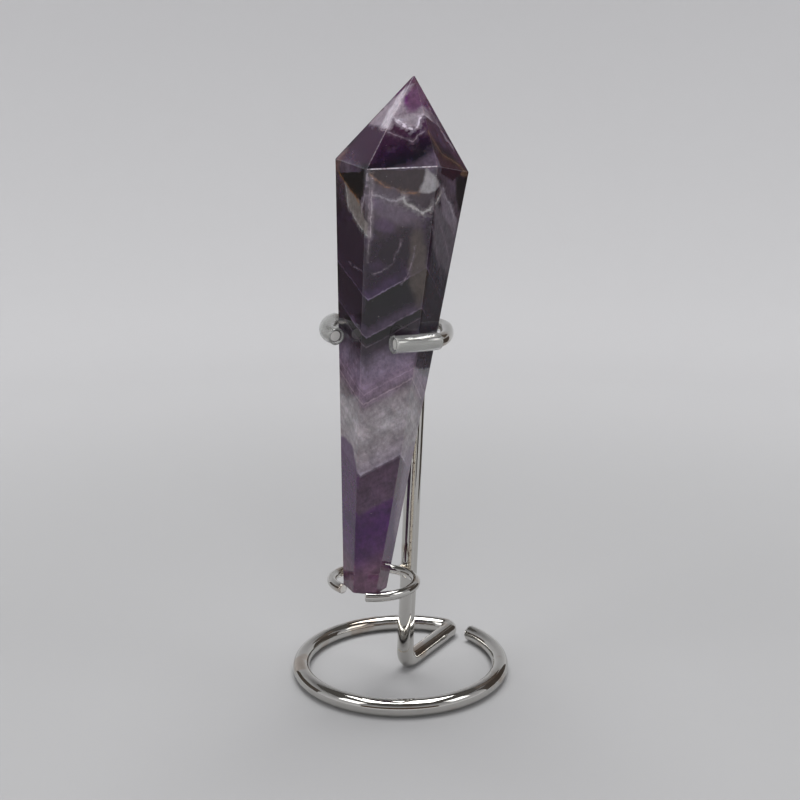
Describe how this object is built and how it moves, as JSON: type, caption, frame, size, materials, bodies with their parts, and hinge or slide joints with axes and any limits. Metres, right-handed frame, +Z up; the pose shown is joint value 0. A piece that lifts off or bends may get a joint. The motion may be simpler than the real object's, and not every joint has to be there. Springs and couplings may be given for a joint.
{
  "type": "amethyst pencil point on wire stand",
  "caption": "Tapered, faceted chevron amethyst point, flat at its narrow end, standing in a bent chromed wire holder with an open cradle.",
  "frame": {"origin": "centre of the whole object's footprint box, on the surface that the base ring stands on", "axes": "+Z up along the post; -Y is the front, from where the stone shows between the cradle's open ends; +X is the viewer's right"},
  "size_m": [0.0658, 0.0754, 0.1726],
  "materials": {
    "amethyst": "polished chevron amethyst, banded purple, smoky and milky, see-through in its depth",
    "chromed_wire": "bright chrome plating, faint draw lines, rough at the welds",
    "clear_sleeve": "clear soft tube"
  },
  "bodies": {
    "root": {"amethyst_point": "amethyst", "base_wire": "chromed_wire", "support_rod": "chromed_wire", "tip_ring": "chromed_wire", "cradle_wire": "chromed_wire", "sleeve_left": "clear_sleeve", "sleeve_right": "clear_sleeve"}
  },
  "joints": []
}
